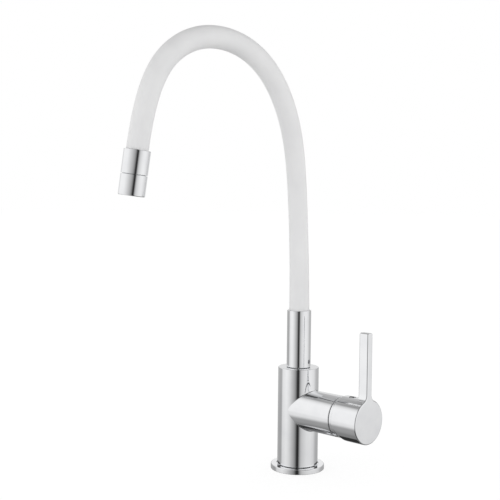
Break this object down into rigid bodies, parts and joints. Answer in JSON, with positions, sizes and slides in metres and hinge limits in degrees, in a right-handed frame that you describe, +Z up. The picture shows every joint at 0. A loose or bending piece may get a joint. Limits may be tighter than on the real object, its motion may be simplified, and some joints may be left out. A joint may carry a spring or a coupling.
{
  "type": "monobloc kitchen mixer tap",
  "caption": "Deck-mounted chrome mixer tap with a side lever on a round barrel and a swivelling, bendable white hose spout that arches over to a slim outlet.",
  "frame": {"origin": "middle of the flange's underside, on the deck, on the column's axis", "axes": "+Z up along the column, +X along the barrel to the lever, -Y the side that the spout reaches over"},
  "size_m": [0.1412, 0.2155, 0.4239],
  "materials": {
    "chrome": "polished chrome plate on brass",
    "white_silicone": "matt white silicone",
    "brass": "turned, bare",
    "steel": "stainless, satin",
    "rubber": "black rubber",
    "cartridge_plastic": "moulded, satin",
    "hose_plastic": "extruded tube",
    "ceramic": "lapped alumina, stood for by gloss plastic"
  },
  "bodies": {
    "tap_body": {"base_flange": "chrome", "base_seal": "rubber", "body_casting": "chrome", "cartridge_port_seal": "rubber", "cartridge_base": "cartridge_plastic", "cartridge_housing": "cartridge_plastic", "ceramic_disc_fixed": "ceramic", "retaining_nut": "brass", "trim_ring": "chrome", "slip_ring": "cartridge_plastic", "spout_nipple": "brass", "spout_o_ring_lower": "rubber", "spout_o_ring_upper": "rubber"},
    "rotor": {"cartridge_rotor": "cartridge_plastic", "stem_pin": "steel"},
    "disc": {"ceramic_disc_moving": "ceramic", "disc_carrier": "cartridge_plastic"},
    "lever": {"lever_handle": "chrome", "lever_stem": "steel", "lever_grub_screw": "steel"},
    "spout_base": {"spout_collar": "chrome", "collar_grub_screw": "steel", "lower_end_fitting": "brass", "sleeve_lower": "white_silicone", "gooseneck_core_lower": "steel", "water_hose_lower": "hose_plastic"},
    "spout_riser": {"sleeve_riser": "white_silicone", "gooseneck_core_riser": "steel", "water_hose_riser": "hose_plastic"},
    "spout_arch": {"sleeve_arch": "white_silicone", "gooseneck_core_arch": "steel", "water_hose_arch": "hose_plastic"},
    "spout_drop": {"sleeve_drop": "white_silicone", "gooseneck_core_drop": "steel", "water_hose_drop": "hose_plastic", "head_ferrule": "chrome", "upper_end_fitting": "brass", "aerator_housing": "chrome", "aerator_washer": "rubber", "aerator_screen": "steel", "aerator_insert": "cartridge_plastic"}
  },
  "joints": [
    {"name": "lever_temperature", "type": "hinge", "parent": "tap_body", "child": "rotor", "pos_m": [0.056, 0, 0.0604], "axis": [1, 0, 0], "range_deg": [-50, 50]},
    {"name": "lever_tilt", "type": "hinge", "parent": "rotor", "child": "lever", "pos_m": [0.056, 0, 0.0604], "axis": [0, 1, 0], "range_deg": [0, 25]},
    {"name": "disc_slide", "type": "slide", "parent": "rotor", "child": "disc", "axis": [0, 0, 1], "range_m": [0, 0.0041]},
    {"name": "spout_swivel", "type": "hinge", "parent": "tap_body", "child": "spout_base", "pos_m": [0, 0, 0.13], "axis": [0, 0, 1], "continuous": true},
    {"name": "spout_bend_lower", "type": "hinge", "parent": "spout_base", "child": "spout_riser", "pos_m": [-0.00019, -0.00092, 0.20949], "axis": [0.9789, -0.2045, 0], "range_deg": [-25, 25]},
    {"name": "spout_bend_crown", "type": "hinge", "parent": "spout_riser", "child": "spout_arch", "pos_m": [-0.02015, -0.09646, 0.41349], "axis": [0.9789, -0.2045, 0], "range_deg": [-25, 25]},
    {"name": "spout_bend_end", "type": "hinge", "parent": "spout_arch", "child": "spout_drop", "pos_m": [-0.03329, -0.1629, 0.36207], "axis": [0.9789, -0.2045, 0], "range_deg": [-25, 25]}
  ],
  "couplings": [
    {"joint": "disc_slide", "follows": "lever_tilt", "m_per_rad": 0.0092}
  ]
}
